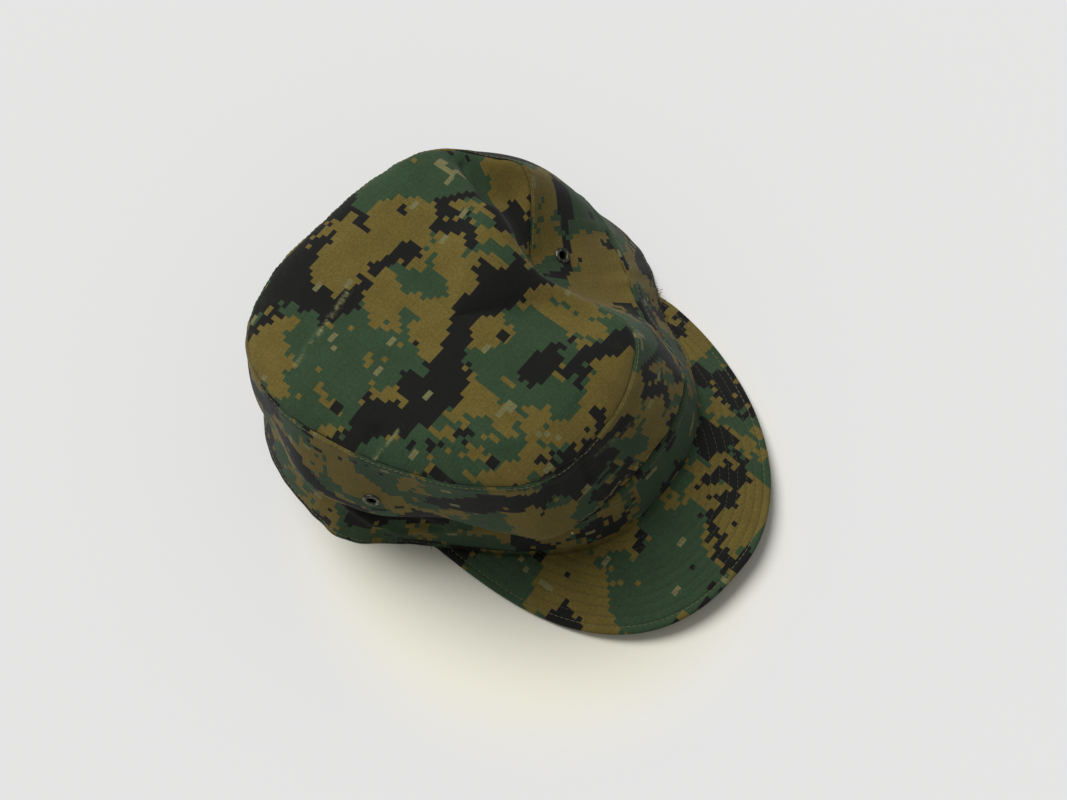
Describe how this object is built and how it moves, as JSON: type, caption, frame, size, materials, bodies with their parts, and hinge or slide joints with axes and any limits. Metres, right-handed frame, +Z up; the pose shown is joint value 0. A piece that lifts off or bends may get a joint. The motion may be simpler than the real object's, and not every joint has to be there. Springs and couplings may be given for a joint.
{
  "type": "patrol cap",
  "caption": "Soft cloth cap with a round top, a side wall, a band and a stitched peak, lying on its hem with its crown slumped to one side.",
  "frame": {"origin": "middle of the cap's outline, on the surface it lies on", "axes": "+Z up, the peak points along -Y, the wearer's left is +X"},
  "size_m": [0.2016, 0.2316, 0.0971],
  "materials": {
    "camouflage_cloth": "matt ripstop weave",
    "eyelet_metal": "worn black"
  },
  "bodies": {
    "root": {"top_panel": "camouflage_cloth", "side_wall": "camouflage_cloth", "band": "camouflage_cloth", "visor": "camouflage_cloth", "eyelet_right": "eyelet_metal", "eyelet_left": "eyelet_metal"}
  },
  "joints": []
}
